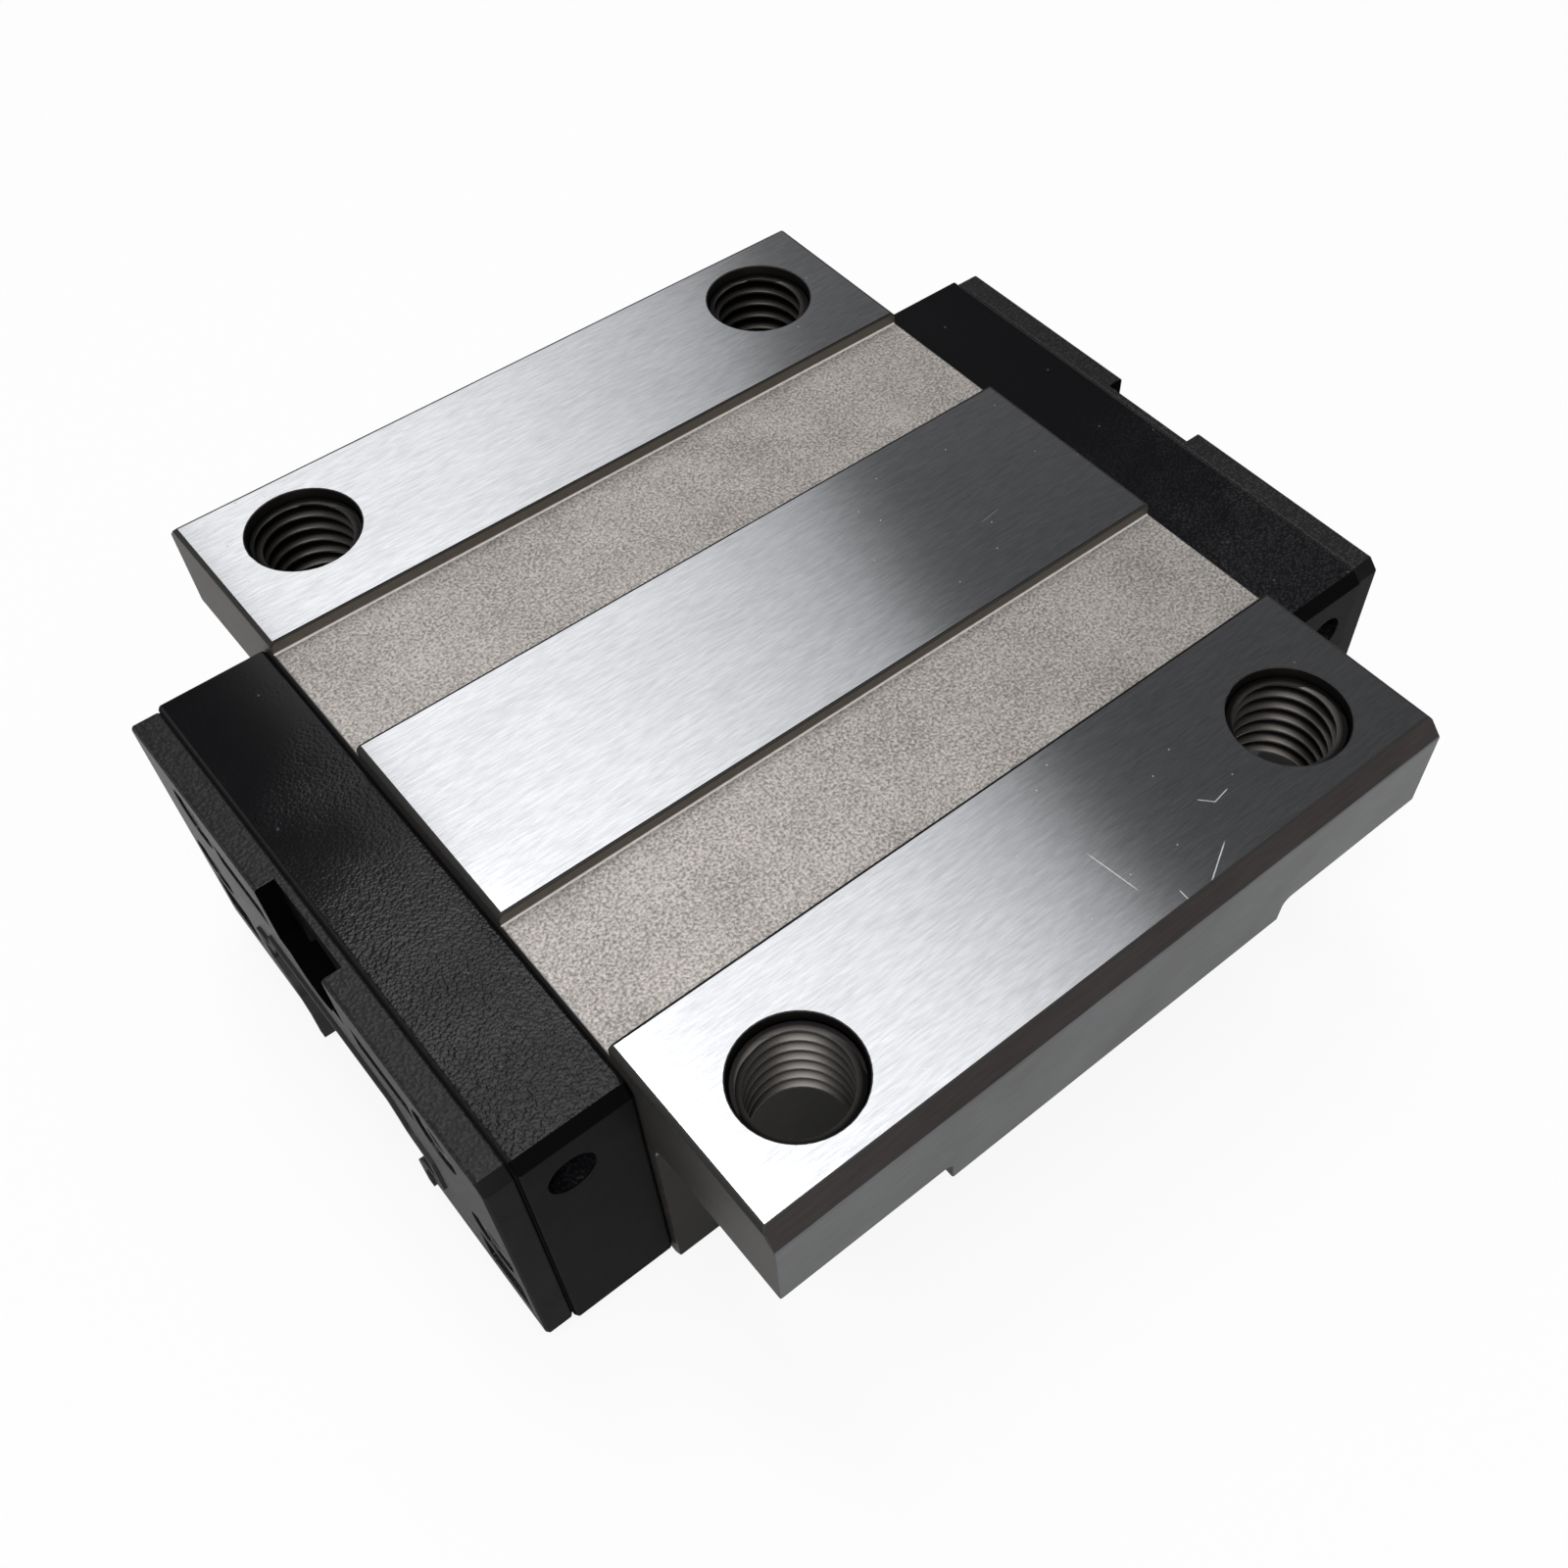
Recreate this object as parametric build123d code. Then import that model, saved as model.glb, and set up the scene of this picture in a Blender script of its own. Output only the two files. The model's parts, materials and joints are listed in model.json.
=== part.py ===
"""Flanged four-row linear guide carriage, without its rail.

X is the direction of travel, Y runs across the rail and Z is up.
The origin is the middle of the block's underside.
All sizes are in millimetres.
"""
from build123d import *
from math import atan2, cos, degrees, hypot, pi, radians, sin, sqrt
import os

# Steel body, outside
body_length = 70.4
body_width = 90.0
body_height = 33.5
leg_width = 58.4
flange_middle_depth = 13.0
flange_seat_depth = 10.2
flange_middle_length = 37.0
flange_root_radius = 2.0
seat_corner_radius = 1.0
side_chamfer = 1.55
end_chamfer = 0.35
leg_chamfer = 0.8

# Ground strips and blasted bands on top
centre_strip_width = 21.6
band_width = 14.5
band_depth = 1.3

# Four tapped holes in the flanges
hole_spacing_x = 52.0
hole_edge_distance = 9.0
thread_diameter = 10.0
lead_in_diameter = 10.5
lead_in_depth = 1.4

# Rail that the block runs on
rail_width = 28.0
rail_top_lift = 17.5
rail_neck_width = 18.6
rail_nose_height = 3.1
channel_clearance = 0.6
mouth_clearance = 0.3
groove_edge_angle = 10.0

# Balls and their circuits
ball_diameter = 4.762
ball_inset = 1.1
upper_row_drop = 1.2
row_spacing = 9.1
turn_diameter = 9.1
upper_turn_angle = 28.0
ball_spacing = 0.04
groove_clearance = 0.07
passage_clearance = 0.17

# Return guides
guide_wall = 0.9
guide_plate_thickness = 1.0
guide_core_width = 4.4
guide_web_width = 5.4
guide_clearance = 0.05

# Ball retainers
strip_rail_gap = 0.5
strip_thickness = 1.1
strip_play = 0.35
strip_ball_gap = 0.06
wire_diameter = 0.8
wire_angle = 165.0
wire_ball_gap = 0.05
wire_reach = 2.5
wire_seat_clearance = 0.02

# End caps
cap_thickness = 10.2
cap_width = 56.6
cap_top_drop = 2.2
cap_bottom_lift = 1.4
cap_chamfer = 1.0
cap_edge = 0.3

# End plates
plate_thickness = 2.7
plate_inset = 0.3
plate_edge = 0.25
notch_width = 10.6
notch_depth = 1.8
notch_height = 7.3
pocket_depth = 0.6
pocket_drop = 5.0
pocket_height = 3.0
pocket_inner_y = 7.2
pocket_width = 8.6
leg_pocket_drop = 21.4
leg_pocket_height = 5.6
leg_pocket_inset = 1.8
leg_pocket_width = 6.4

# End seals
seal_rail_gap = 0.05
seal_lip_width = 0.9
seal_back_width = 1.9
seal_back_thickness = 1.3
seal_lip_proud = 0.3
seal_clearance = 0.05

# Bottom seals
leg_overlap = 0.9
bottom_seal_seat = 4.3
bottom_seal_thickness = 1.1
bottom_seal_lift = 0.1
bottom_seal_lip = 0.35
bottom_seal_rail_gap = 0.6

# Cap screws
screw_diameter = 3.0
screw_head_diameter = 5.4
screw_head_height = 1.7
screw_head_recess = 0.2
screw_head_clearance = 0.25
screw_socket_width = 2.3
screw_socket_depth = 1.0
screw_bite = 6.0
screw_hole_extra = 1.5
screw_clearance = 0.15
thread_fit = 0.02
upper_screw_y = 19.5
upper_screw_wall = 1.0
lower_screw_y = 23.6

# Grease ports
port_diameter = 6.0
port_drop = 6.2
port_depth = 6.0
port_window_clearance = 0.6
plug_length = 5.0
plug_recess = 0.4
plug_socket_width = 3.2
plug_socket_depth = 2.5
grease_bore_diameter = 2.4
grease_groove_width = 1.6
grease_groove_depth = 1.2
side_port_diameter = 4.2
side_port_depth = 4.5
side_port_drop = 5.6
side_port_setback = 6.3
side_port_pilot_diameter = 2.4
side_port_pilot_depth = 1.4

# How far a cutter runs past the face it starts from
past = 1.0

# Places worked out from the sizes
hole_spacing_y = body_width - 2 * hole_edge_distance
body_end = body_length / 2
cap_end = body_end + cap_thickness
plate_end = cap_end + plate_thickness
cap_half = cap_width / 2
cap_top = body_height - cap_top_drop
leg_half = leg_width / 2
ball_radius = ball_diameter / 2
groove_radius = ball_radius + groove_clearance
passage_radius = ball_radius + passage_clearance
load_y = rail_width / 2 - ball_inset
upper_z = rail_top_lift - upper_row_drop
lower_z = upper_z - row_spacing
middle_z = (upper_z + lower_z) / 2
turn_radius = turn_diameter / 2
turn_start = body_end + guide_plate_thickness
wire_offset = ball_radius + wire_ball_gap + wire_diameter / 2
strip_inner = rail_width / 2 + strip_rail_gap
strip_outer = strip_inner + strip_thickness
strip_drop = sqrt((ball_radius + strip_ball_gap) ** 2 - (strip_inner - load_y) ** 2)
strip_half = upper_z - strip_drop - middle_z
leg_inner = load_y - leg_overlap
seal_floor = bottom_seal_lift + bottom_seal_thickness
plate_bottom = cap_bottom_lift + plate_inset
head_seat = plate_end - screw_head_recess - screw_head_height
port_z = cap_top - port_drop
side_port_z = cap_top - side_port_drop
side_port_x = body_end + side_port_setback


class Row:
    """One ball row on the +Y side: its loaded line, its return line and the turn between."""

    def __init__(self, name, z, turn_angle, wire_side):
        self.name = name
        self.load = (load_y, z)
        self.along = (cos(radians(turn_angle)), sin(radians(turn_angle)))
        self.across = (-self.along[1], self.along[0])
        self.middle = self.point(turn_radius, 0)
        self.back = self.point(turn_diameter, 0)
        angle = radians(wire_angle) * wire_side
        self.wire = (load_y + wire_offset * cos(angle), z + wire_offset * sin(angle))

    def point(self, out, side):
        """A point in (Y, Z), measured from the loaded line towards the return line."""
        y = self.load[0] + out * self.along[0] + side * self.across[0]
        z = self.load[1] + out * self.along[1] + side * self.across[1]
        return (y, z)

    def turn(self, face):
        """Swing a face half way round, from the end of the loaded line to the return line."""
        axis = Axis((turn_start, *self.middle), (0, *self.across))
        return revolve(Plane.YZ.offset(turn_start) * face, axis, 180)

    def path_length(self):
        """Length of the ball circuit, all the way round."""
        return 4 * turn_start + 2 * pi * turn_radius

    def ball_place(self, distance):
        """Centre of a ball at a distance along the circuit."""
        straight = 2 * turn_start
        bend = pi * turn_radius
        if distance < straight:
            return (distance - turn_start, *self.load)
        distance -= straight
        if distance < bend:
            return self.bend_place(distance / turn_radius, 1)
        distance -= bend
        if distance < straight:
            return (turn_start - distance, *self.back)
        return self.bend_place(pi - (distance - straight) / turn_radius, -1)

    def bend_place(self, angle, end):
        """Centre of a ball in the turn at one end, at an angle from the loaded line."""
        out = turn_radius * (1 - cos(angle))
        return (end * (turn_start + turn_radius * sin(angle)), *self.point(out, 0))


rows = [Row("upper", upper_z, upper_turn_angle, 1), Row("lower", lower_z, 0, -1)]

# The upper screws stand a wall above the upper return bore,
# and the lower ones midway between the two return bores
upper_return_z, lower_return_z = (row.back[1] for row in rows)
screw_places = [
    (upper_screw_y, upper_return_z + passage_radius + upper_screw_wall + screw_diameter / 2),
    (lower_screw_y, (upper_return_z + lower_return_z) / 2),
]


def prism(face, x_from, x_to):
    """Extrude a face drawn in (Y, Z) from one X to another."""
    return extrude(Plane.YZ.offset(x_from) * face, x_to - x_from)


def polygon(*points):
    """A closed face through (Y, Z) points."""
    return make_face(Polyline(*points, close=True))


def rectangle(y_from, y_to, z_from, z_to):
    """A face between two Y values and two Z values."""
    return polygon((y_from, z_from), (y_to, z_from), (y_to, z_to), (y_from, z_to))


def disc(centre, radius):
    """A round face in (Y, Z)."""
    return Pos(*centre) * Circle(radius)


def rod(centre, radius, x_from, x_to):
    """A round bar along X."""
    return prism(disc(centre, radius), x_from, x_to)


def capsule(start, end, radius):
    """A face with round ends about two (Y, Z) points."""
    run = (end[0] - start[0], end[1] - start[1])
    middle = ((start[0] + end[0]) / 2, (start[1] + end[1]) / 2)
    slot = SlotCenterToCenter(hypot(*run), 2 * radius)
    return Pos(*middle) * Rot(0, 0, degrees(atan2(run[1], run[0]))) * slot


def both_sides(shape):
    """A shape and its mirror image across the rail."""
    return shape + mirror(shape, about=Plane.XZ)


def both_halves(face):
    """A flat (Y, Z) face and its mirror image across the rail."""
    return face + mirror(face, about=Plane.YZ)


def both_ends(shape):
    """A shape and its mirror image at the other end of the block."""
    return shape + mirror(shape, about=Plane.YZ)


def rail_section(gap):
    """The rail's section above the legs' feet, grown by a gap."""
    neck = rail_neck_width / 2 + gap
    nose = rail_width / 2 + gap
    top = rail_top_lift + gap
    reach = groove_radius - gap
    nose_top = middle_z + rail_nose_height / 2 + gap

    def on_groove(angle):
        y = load_y - reach * cos(radians(angle))
        z = upper_z - reach * sin(radians(angle))
        return (y, z)

    def low(point):
        return (point[0], 2 * middle_z - point[1])

    start, bottom, end = on_groove(groove_edge_angle), on_groove(45), on_groove(90 - groove_edge_angle)
    outline = [
        Polyline((0, top), (neck, top), start),
        ThreePointArc(start, bottom, end),
        Polyline(end, (nose, nose_top), low((nose, nose_top)), low(end)),
        ThreePointArc(low(end), low(bottom), low(start)),
        Polyline(low(start), low((neck, top)), (neck, -past), (0, -past), (0, top)),
    ]
    return both_halves(make_face(outline))


def guide_face(clearance):
    """Footprint of a return guide's plate on the +Y side."""
    radius = passage_radius + guide_wall + clearance
    face = rectangle(
        strip_inner - clearance,
        strip_inner + guide_web_width + clearance,
        lower_z,
        upper_z,
    )
    for row in rows:
        face += capsule(row.load, row.back, radius)
    return face


def wire_seat(row):
    """Groove that holds one end of a row's wire."""
    return rod(row.wire, wire_diameter / 2 + wire_seat_clearance, body_end, body_end + wire_reach)


def turn_core(row, width, shrink):
    """The D-shaped block that the balls turn round."""
    reach = turn_radius - shrink
    corners = [
        row.point(turn_radius, -width / 2),
        row.point(turn_radius, width / 2),
        row.point(turn_radius - reach, width / 2),
        row.point(turn_radius - reach, -width / 2),
    ]
    return row.turn(polygon(*corners))


def carriage_body():
    """Ground steel saddle: one bar with its raceways, return bores and holes."""
    strip = centre_strip_width / 2
    half = body_width / 2
    underside = body_height - flange_middle_depth
    outline = polygon(
        (0, 0),
        (leg_half - leg_chamfer, 0),
        (leg_half, leg_chamfer),
        (leg_half, underside),
        (half, underside),
        (half, body_height - side_chamfer),
        (half - side_chamfer, body_height),
        (strip + band_width, body_height),
        (strip + band_width, body_height - band_depth),
        (strip, body_height - band_depth),
        (strip, body_height),
        (0, body_height),
    )
    roots = outline.vertices().filter_by_position(Axis.X, leg_half - 0.01, leg_half + 0.01)
    outline = fillet(roots.sort_by(Axis.Y)[-1], flange_root_radius)

    channel_half = rail_width / 2 + channel_clearance
    outline -= rectangle(0, channel_half, lower_z, rail_top_lift + channel_clearance)
    outline -= rectangle(0, leg_inner, 0, upper_z)
    outline -= rectangle(0, leg_inner + bottom_seal_seat, 0, seal_floor)
    pocket_half = strip_half + strip_play
    outline -= rectangle(0, strip_outer, middle_z - pocket_half, middle_z + pocket_half)
    for row in rows:
        outline -= disc(row.load, groove_radius)
        outline -= disc(row.back, passage_radius)
    body = prism(both_halves(outline), -body_end, body_end)

    # Bolt seats milled under both ends of each flange
    seat_start = flange_middle_length / 2
    seat = rectangle(leg_half, half + past, underside - flange_root_radius, body_height - flange_seat_depth)
    inner = seat.vertices().filter_by_position(Axis.X, leg_half - 0.01, leg_half + 0.01)
    seat = fillet(inner.sort_by(Axis.Y)[-1], flange_root_radius)
    cut = prism(seat, seat_start, body_end + past)
    corner = cut.edges().filter_by(Axis.Y).group_by(Axis.X)[0].sort_by(Axis.Z)[-1]
    cut = fillet(corner, seat_corner_radius)
    body -= both_ends(both_sides(cut))

    # Small chamfer along the ends of the three ground strips
    top_edges = body.edges().filter_by(Axis.Y).group_by(Axis.Z)[-1]
    body = chamfer(top_edges, end_chamfer)

    for place in GridLocations(hole_spacing_x, hole_spacing_y, 2, 2):
        hole = Cylinder(thread_diameter / 2, 3 * body_height)
        lead_in = Pos(0, 0, body_height) * Cylinder(lead_in_diameter / 2, 2 * lead_in_depth)
        body -= place * (hole + lead_in)

    for place in screw_places:
        depth = screw_bite + screw_hole_extra
        tapped = rod(place, screw_diameter / 2 + thread_fit, body_end - depth, body_end + past)
        body -= both_ends(both_sides(tapped))
    return body


def cap_outline(inset):
    """Outline shared by the end caps and the end plates, which are smaller all round by an inset."""
    half = cap_half - inset
    top = cap_top - inset
    bottom = cap_bottom_lift + inset
    return both_halves(
        polygon(
            (0, bottom),
            (half, bottom),
            (half, top - cap_chamfer),
            (half - cap_chamfer, top),
            (0, top),
        )
    )


def edged_block(outline, x_from, x_to, edge):
    """A block along X with a small chamfer round both of its ends."""
    block = prism(outline, x_from, x_to)
    ends = block.faces().filter_by(Axis.X)
    return chamfer(ends.edges(), edge)


def end_cap():
    """Moulded cap at the +X end, with the outer halves of the four turns."""
    cap = edged_block(cap_outline(0), body_end, cap_end, cap_edge)
    cap -= prism(rail_section(mouth_clearance), body_end, cap_end)
    side = prism(guide_face(guide_clearance), body_end, turn_start)
    for row in rows:
        side += turn_core(row, guide_core_width, 0)
        side += row.turn(disc(row.load, passage_radius))
        side += wire_seat(row)
    groove = capsule((0, port_z), rows[0].middle, grease_groove_width / 2)
    side += prism(groove, body_end, body_end + grease_groove_depth)
    for place in screw_places:
        side += rod(place, screw_diameter / 2 + screw_clearance, body_end, cap_end)
    cap -= both_sides(side)

    # Grease port in the face, and one on each flank
    cap -= rod((0, port_z), port_diameter / 2 + thread_fit, cap_end - port_depth, cap_end)
    cap -= rod((0, port_z), grease_bore_diameter / 2, body_end, cap_end)
    port = Rot(90, 0, 0) * Cylinder(side_port_diameter / 2, 2 * side_port_depth)
    pilot_depth = side_port_depth + side_port_pilot_depth
    pilot = Rot(90, 0, 0) * Cylinder(side_port_pilot_diameter / 2, 2 * pilot_depth)
    cap -= both_sides(Pos(side_port_x, cap_half, side_port_z) * (port + pilot))
    return cap


def return_guide():
    """Inner half of two turns on the +Y side, at the +X end."""
    face = guide_face(0) - rail_section(mouth_clearance)
    for row in rows:
        face -= disc(row.load, passage_radius)
        face -= disc(row.back, passage_radius)
    guide = prism(face, body_end, turn_start)
    for row in rows:
        core = turn_core(row, guide_core_width - 2 * guide_clearance, guide_clearance)
        guide += core - row.turn(disc(row.load, passage_radius))
        guide -= wire_seat(row)

    # The slivers of wall past the wires fall away
    return guide.solids().sort_by(SortBy.VOLUME)[-1]


def end_plate():
    """Thin outer plate at the +X end, with its notch, pockets and screw seats."""
    plate = edged_block(cap_outline(plate_inset), cap_end, plate_end, plate_edge)
    lip_gap = seal_rail_gap + seal_lip_width + seal_clearance
    plate -= prism(rail_section(lip_gap), cap_end, plate_end)
    plate -= prism(seal_face(seal_clearance), cap_end, cap_end + seal_back_thickness)

    notch = rectangle(0, notch_width / 2, cap_top - notch_height, cap_top + past)
    plate -= prism(both_halves(notch), plate_end - notch_depth, plate_end)
    plate -= rod((0, port_z), port_diameter / 2 + port_window_clearance, cap_end, plate_end)

    pocket_top = cap_top - pocket_drop
    side = prism(
        rectangle(pocket_inner_y, pocket_inner_y + pocket_width, pocket_top - pocket_height, pocket_top),
        plate_end - pocket_depth,
        plate_end,
    )
    leg_top = cap_top - leg_pocket_drop
    leg_outer = cap_half - leg_pocket_inset
    side += prism(
        rectangle(leg_outer - leg_pocket_width, leg_outer, leg_top - leg_pocket_height, leg_top),
        plate_end - pocket_depth,
        plate_end,
    )
    for place in screw_places:
        side += rod(place, screw_diameter / 2 + screw_clearance, cap_end, plate_end)
        side += rod(place, screw_head_diameter / 2 + screw_head_clearance, head_seat, plate_end)
    return plate - both_sides(side)


def seal_face(clearance):
    """Outer form of the end seal's back, round the rail."""
    half = rail_width / 2 + seal_back_width + clearance
    neck = leg_inner + clearance
    top = rail_top_lift + seal_back_width + clearance
    bottom = lower_z - groove_radius - clearance
    corner = seal_back_width
    return both_halves(
        polygon(
            (0, top),
            (half - corner, top),
            (half, top - corner),
            (half, bottom + corner),
            (half - corner, bottom),
            (neck, bottom),
            (neck, cap_bottom_lift - past),
            (0, cap_bottom_lift - past),
        )
    )


def end_seal():
    """Rubber wiper at the +X end: a flat back behind the plate and a lip through it."""
    rail = rail_section(seal_rail_gap)
    above_floor = rectangle(-cap_half, cap_half, plate_bottom, cap_top)
    back = (seal_face(0) - rail) & above_floor
    lip = (rail_section(seal_rail_gap + seal_lip_width) - rail) & above_floor
    seal = prism(back, cap_end, cap_end + seal_back_thickness - seal_clearance)
    return seal + prism(lip, cap_end, plate_end + seal_lip_proud)


def bottom_seal():
    """Strip under the +Y leg, with a lip towards the rail."""
    outer = leg_inner + bottom_seal_seat
    inner = rail_neck_width / 2 + bottom_seal_rail_gap
    face = polygon(
        (outer, bottom_seal_lift),
        (outer, seal_floor),
        (leg_inner, seal_floor),
        (inner, seal_floor - bottom_seal_lip),
        (inner, bottom_seal_lift + bottom_seal_lip),
        (leg_inner, bottom_seal_lift),
    )
    return prism(face, -body_end, body_end)


def retainer_strip():
    """Flat strip between the two rows on the +Y side."""
    face = rectangle(strip_inner, strip_outer, middle_z - strip_half, middle_z + strip_half)
    return prism(face, -body_end, body_end)


def retaining_wire(row):
    """Round wire beside a row on the +Y side, seated in both end caps."""
    reach = body_end + wire_reach
    return rod(row.wire, wire_diameter / 2, -reach, reach)


def ball_circuit(row):
    """All the balls of one row on the +Y side."""
    length = row.path_length()
    count = int(length // (ball_diameter + ball_spacing))
    pitch = length / count
    return [Pos(*row.ball_place(i * pitch)) * Sphere(ball_radius) for i in range(count)]


def cap_screws():
    """The four screws at the +X end."""
    screws = []
    for y, z in screw_places:
        head = rod((y, z), screw_head_diameter / 2, head_seat, head_seat + screw_head_height)
        rim = head.edges().filter_by(GeomType.CIRCLE).sort_by(Axis.X)[-1]
        head = fillet(rim, screw_head_height / 4)
        shank = rod((y, z), screw_diameter / 2, body_end - screw_bite, head_seat)
        socket = Pos(y, z) * RegularPolygon(screw_socket_width / sqrt(3), 6)
        face = head_seat + screw_head_height
        screw = head + shank - prism(socket, face - screw_socket_depth, face)
        screws += [screw, mirror(screw, about=Plane.XZ)]
    return screws


def grease_plug():
    """Socket set screw that closes the port in the +X cap."""
    face = cap_end - plug_recess
    plug = rod((0, port_z), port_diameter / 2, face - plug_length, face)
    socket = Pos(0, port_z) * RegularPolygon(plug_socket_width / sqrt(3), 6)
    return plug - prism(socket, face - plug_socket_depth, face)


def save(name, shape):
    """Write one node: a solid, or several solids in one group."""
    if isinstance(shape, list):
        solids = [solid for piece in shape for solid in piece.solids()]
        shape = Compound(solids)
    export_step(shape, f"parts/{name}.step")


def flipped(shape, plane):
    """Mirror a solid or a list of solids."""
    if isinstance(shape, list):
        return [mirror(piece, about=plane) for piece in shape]
    return mirror(shape, about=plane)


def save_ends(name, shape, side=""):
    """Write a piece of the +X end as the rear one and its mirror image as the front one."""
    tail = f"_{side}" if side else ""
    save(f"{name}_rear{tail}", shape)
    save(f"{name}_front{tail}", flipped(shape, Plane.YZ))


def save_sides(name, shape):
    """Write a piece of the +Y side as the left one and its mirror image as the right one."""
    save(f"{name}_left", shape)
    save(f"{name}_right", flipped(shape, Plane.XZ))


os.makedirs("parts", exist_ok=True)
save("carriage_body", carriage_body())
save_ends("end_cap", end_cap())
save_ends("end_plate", end_plate())
save_ends("end_seal", end_seal())
save_ends("cap_screws", cap_screws())
save_ends("grease_plug", grease_plug())
left_guide = return_guide()
save_ends("return_guide", left_guide, "left")
save_ends("return_guide", flipped(left_guide, Plane.XZ), "right")
save_sides("retainer_strip", retainer_strip())
save_sides("bottom_seal", bottom_seal())
for row in rows:
    save_sides(f"ball_circuit_{row.name}", ball_circuit(row))
    save_sides(f"retaining_wire_{row.name}", retaining_wire(row))
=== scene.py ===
"""Looks of a flanged linear guide carriage, built round its CAD model.

X is the direction of travel, Y runs across the rail and Z is up.
Lengths are in metres unless a name ends in _mm.
"""
import json
from math import pi, radians

import bmesh
import bpy
from bpy.props import FloatProperty, FloatVectorProperty, IntProperty, PointerProperty
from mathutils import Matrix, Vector

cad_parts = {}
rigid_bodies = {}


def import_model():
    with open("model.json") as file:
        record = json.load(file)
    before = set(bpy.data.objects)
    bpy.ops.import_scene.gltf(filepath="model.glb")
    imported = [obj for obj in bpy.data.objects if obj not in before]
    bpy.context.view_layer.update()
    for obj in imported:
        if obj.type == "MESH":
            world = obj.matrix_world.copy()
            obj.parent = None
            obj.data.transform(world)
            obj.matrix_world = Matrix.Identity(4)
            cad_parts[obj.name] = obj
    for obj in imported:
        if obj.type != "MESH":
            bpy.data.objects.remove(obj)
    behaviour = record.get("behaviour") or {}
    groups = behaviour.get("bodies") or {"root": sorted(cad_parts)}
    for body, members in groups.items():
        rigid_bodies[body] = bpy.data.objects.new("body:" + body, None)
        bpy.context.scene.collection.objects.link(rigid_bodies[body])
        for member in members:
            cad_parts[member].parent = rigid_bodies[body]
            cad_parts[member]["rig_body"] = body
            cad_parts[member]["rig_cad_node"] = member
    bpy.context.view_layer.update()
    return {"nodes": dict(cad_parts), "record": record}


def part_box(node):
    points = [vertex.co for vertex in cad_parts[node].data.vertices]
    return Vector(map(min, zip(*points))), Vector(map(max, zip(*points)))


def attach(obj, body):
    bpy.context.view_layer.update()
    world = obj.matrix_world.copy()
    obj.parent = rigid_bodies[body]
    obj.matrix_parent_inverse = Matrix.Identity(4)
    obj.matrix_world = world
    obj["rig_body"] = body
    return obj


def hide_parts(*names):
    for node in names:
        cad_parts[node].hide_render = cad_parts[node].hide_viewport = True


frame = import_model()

bl_info = {
    "name": "Linear guide carriage",
    "version": (1, 0, 0),
    "blender": (4, 5, 0),
    "location": "3D View > Sidebar > Carriage",
    "description": "Threads, edges and finishes for the CAD model of a flanged linear guide carriage",
    "category": "Mesh",
}

MM = 0.001
ENDS = {"front": -1, "rear": 1}
SIDES = {"left": 1, "right": -1}

# The frame's own sizes
BODY_LOW, BODY_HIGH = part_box("carriage_body")
TOP = BODY_HIGH.z

# The blasted bands: their level and the lines at which they step up to the strips
BAND_DEPTH = 1.3 * MM
BAND_LEVEL = TOP - BAND_DEPTH
STEP_LINES = (10.8 * MM, 25.3 * MM)

# Below this level the body is leg
LEG_TOP = TOP - 14 * MM

# How far a face may lie off a plane and still count as in it
HAIR = 0.05 * MM

# Distances within which points are merged: in a CAD mesh, and after a modelling step
CAD_WELD = 0.002 * MM
STEP_WELD = 0.0005 * MM

# Faces that meet at less than the first angle are one, and at more than the second a corner
FLAT_ANGLE = radians(0.5)
CORNER_ANGLE = radians(32)

# Angles up to which pieces and threads are shaded smooth
SMOOTH_ANGLE = radians(28)
THREAD_SMOOTH_ANGLE = radians(25)

# Scattered specks: size and spacing
STEEL_SPECKS = (0.16 * MM, 7 * MM)
DUST_SPECKS = (0.25 * MM, 9 * MM)

# Where across the travel the moulded grain and its painted highlights start to grow and where they're
# full
GRAIN_START = 20 * MM
GRAIN_FULL = -30 * MM


def color(name, text, default):
    """A colour property, linear."""
    return FloatVectorProperty(
        name=name, description=text, default=default, subtype="COLOR", size=3, min=0, max=1
    )


def angle(name, text, default_degrees):
    """An angle property."""
    return FloatProperty(name=name, description=text, default=radians(default_degrees), unit="ROTATION")


def length(name, text, default_mm):
    """A length property."""
    return FloatProperty(name=name, description=text, default=default_mm * MM, unit="LENGTH", precision=5)


def level(name, text, default):
    """A brightness."""
    return FloatProperty(name=name, description=text, default=default, min=0)


def factor(name, text, default):
    """A share from nought to one."""
    return FloatProperty(name=name, description=text, default=default, min=0, max=1, subtype="FACTOR")


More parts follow.
